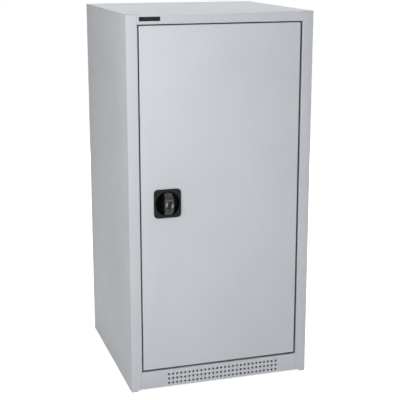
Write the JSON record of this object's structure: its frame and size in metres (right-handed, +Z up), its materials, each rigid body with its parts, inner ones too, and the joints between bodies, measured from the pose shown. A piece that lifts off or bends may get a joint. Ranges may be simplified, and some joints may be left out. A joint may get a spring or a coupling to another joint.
{
  "type": "metal storage cabinet",
  "caption": "Upright sheet-steel storage cabinet with an inset hinged door, turn handle and key lock driving rod bolts, shelves on clips inside and a perforated plinth.",
  "frame": {"origin": "middle of the overall footprint on the floor, handle included", "axes": "+X to the right seen from the front, +Y from the door to the back, +Z up"},
  "size_m": [0.5, 0.5236, 1],
  "materials": {
    "powder_coated_steel": "light grey satin powder coat on 1 mm sheet",
    "zinc_plated_steel": "bright zinc plate",
    "black_plastic": "fine-grained black moulding",
    "nickel": "nickel plate",
    "nylon": "natural nylon",
    "rubber": "moulded black rubber"
  },
  "bodies": {
    "carcass": {"left_side_panel": "powder_coated_steel", "right_side_panel": "powder_coated_steel", "back_panel": "powder_coated_steel", "top_panel": "powder_coated_steel", "front_plinth": "powder_coated_steel", "left_base_rail": "powder_coated_steel", "right_base_rail": "powder_coated_steel", "rear_base_rail": "powder_coated_steel", "floor_panel": "powder_coated_steel", "left_front_shelf_rail": "powder_coated_steel", "left_rear_shelf_rail": "powder_coated_steel", "right_front_shelf_rail": "powder_coated_steel", "right_rear_shelf_rail": "powder_coated_steel", "shelf_1": "powder_coated_steel", "shelf_2": "powder_coated_steel", "shelf_3": "powder_coated_steel", "shelf_1_clip_left_front": "zinc_plated_steel", "shelf_1_clip_left_rear": "zinc_plated_steel", "shelf_1_clip_right_front": "zinc_plated_steel", "shelf_1_clip_right_rear": "zinc_plated_steel", "shelf_2_clip_left_front": "zinc_plated_steel", "shelf_2_clip_left_rear": "zinc_plated_steel", "shelf_2_clip_right_front": "zinc_plated_steel", "shelf_2_clip_right_rear": "zinc_plated_steel", "shelf_3_clip_left_front": "zinc_plated_steel", "shelf_3_clip_left_rear": "zinc_plated_steel", "shelf_3_clip_right_front": "zinc_plated_steel", "shelf_3_clip_right_rear": "zinc_plated_steel", "upper_pivot_pin": "zinc_plated_steel", "lower_pivot_pin": "zinc_plated_steel", "pivot_thrust_washer": "black_plastic", "upper_door_buffer": "rubber", "lower_door_buffer": "rubber"},
    "door": {"door_panel": "powder_coated_steel", "door_stiffener": "powder_coated_steel", "upper_pivot_bush": "black_plastic", "lower_pivot_bush": "black_plastic", "lock_escutcheon": "black_plastic", "lock_case": "zinc_plated_steel", "lock_case_cover": "zinc_plated_steel", "upper_rod_guide": "nylon", "lower_rod_guide": "nylon"},
    "handle": {"handle_grip": "black_plastic", "handle_spindle": "zinc_plated_steel", "drive_pinion": "zinc_plated_steel", "spindle_retaining_ring": "zinc_plated_steel", "lock_barrel": "nickel"},
    "key": {"key_plug": "nickel"},
    "upper_rod": {"upper_lock_rod": "zinc_plated_steel"},
    "lower_rod": {"lower_lock_rod": "zinc_plated_steel"}
  },
  "joints": [
    {"name": "door_hinge", "type": "hinge", "parent": "carcass", "child": "door", "pos_m": [0.204, -0.22825, 0.51525], "axis": [0, 0, 1], "range_deg": [0, 110]},
    {"name": "handle_turn", "type": "hinge", "parent": "door", "child": "handle", "pos_m": [-0.1475, -0.23825, 0.51525], "axis": [0, 1, 0], "range_deg": [0, 90]},
    {"name": "key_turn", "type": "hinge", "parent": "handle", "child": "key", "pos_m": [-0.1475, -0.25425, 0.51525], "axis": [0, 1, 0], "range_deg": [0, 90]},
    {"name": "upper_rod_slide", "type": "slide", "parent": "door", "child": "upper_rod", "axis": [0, 0, 1], "range_m": [0, 0.01649]},
    {"name": "lower_rod_slide", "type": "slide", "parent": "door", "child": "lower_rod", "axis": [0, 0, -1], "range_m": [0, 0.01649]}
  ],
  "couplings": [
    {"joint": "lower_rod_slide", "follows": "upper_rod_slide", "ratio": 1},
    {"joint": "handle_turn", "follows": "upper_rod_slide", "rad_per_m": 95.238}
  ]
}
